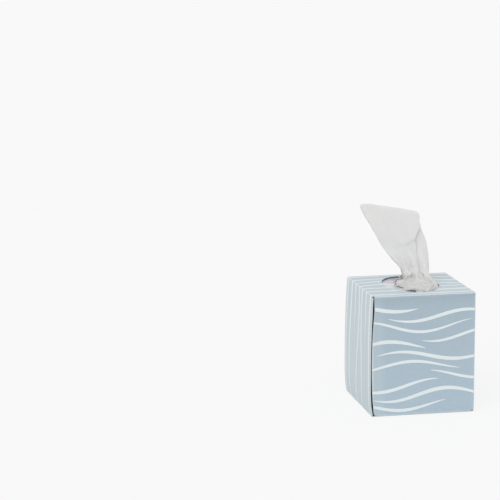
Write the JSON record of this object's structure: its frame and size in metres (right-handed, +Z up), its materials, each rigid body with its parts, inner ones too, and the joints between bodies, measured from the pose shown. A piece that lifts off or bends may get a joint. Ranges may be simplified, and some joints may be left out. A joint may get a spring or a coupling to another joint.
{
  "type": "tissue box",
  "caption": "Cube tissue box: folded and glued light blue carton with white wave print, oval opening with slit film, a bent clip of tissues and one drawn tissue.",
  "frame": {"origin": "centre of the carton's bottom face, on the ground", "axes": "+Z up, -Y out of the front face, -X out of the left wall, which bows outward"},
  "size_m": [0.1125, 0.1102, 0.2149],
  "materials": {
    "carton_board": "light blue printed paperboard, satin, grey-brown bare inside",
    "white_print": "matt white print fields",
    "clear_film": "thin clear film, slightly hazy",
    "glue": "set hot-melt glue",
    "tissue": "soft two-ply tissue, matt"
  },
  "bodies": {
    "root": {"carton": "carton_board", "wave_print": "white_print", "opening_film": "clear_film", "film_glue": "glue", "seam_glue": "glue", "flap_glue": "glue", "tissue_clip": "tissue", "drawn_tissue": "tissue"}
  },
  "joints": []
}
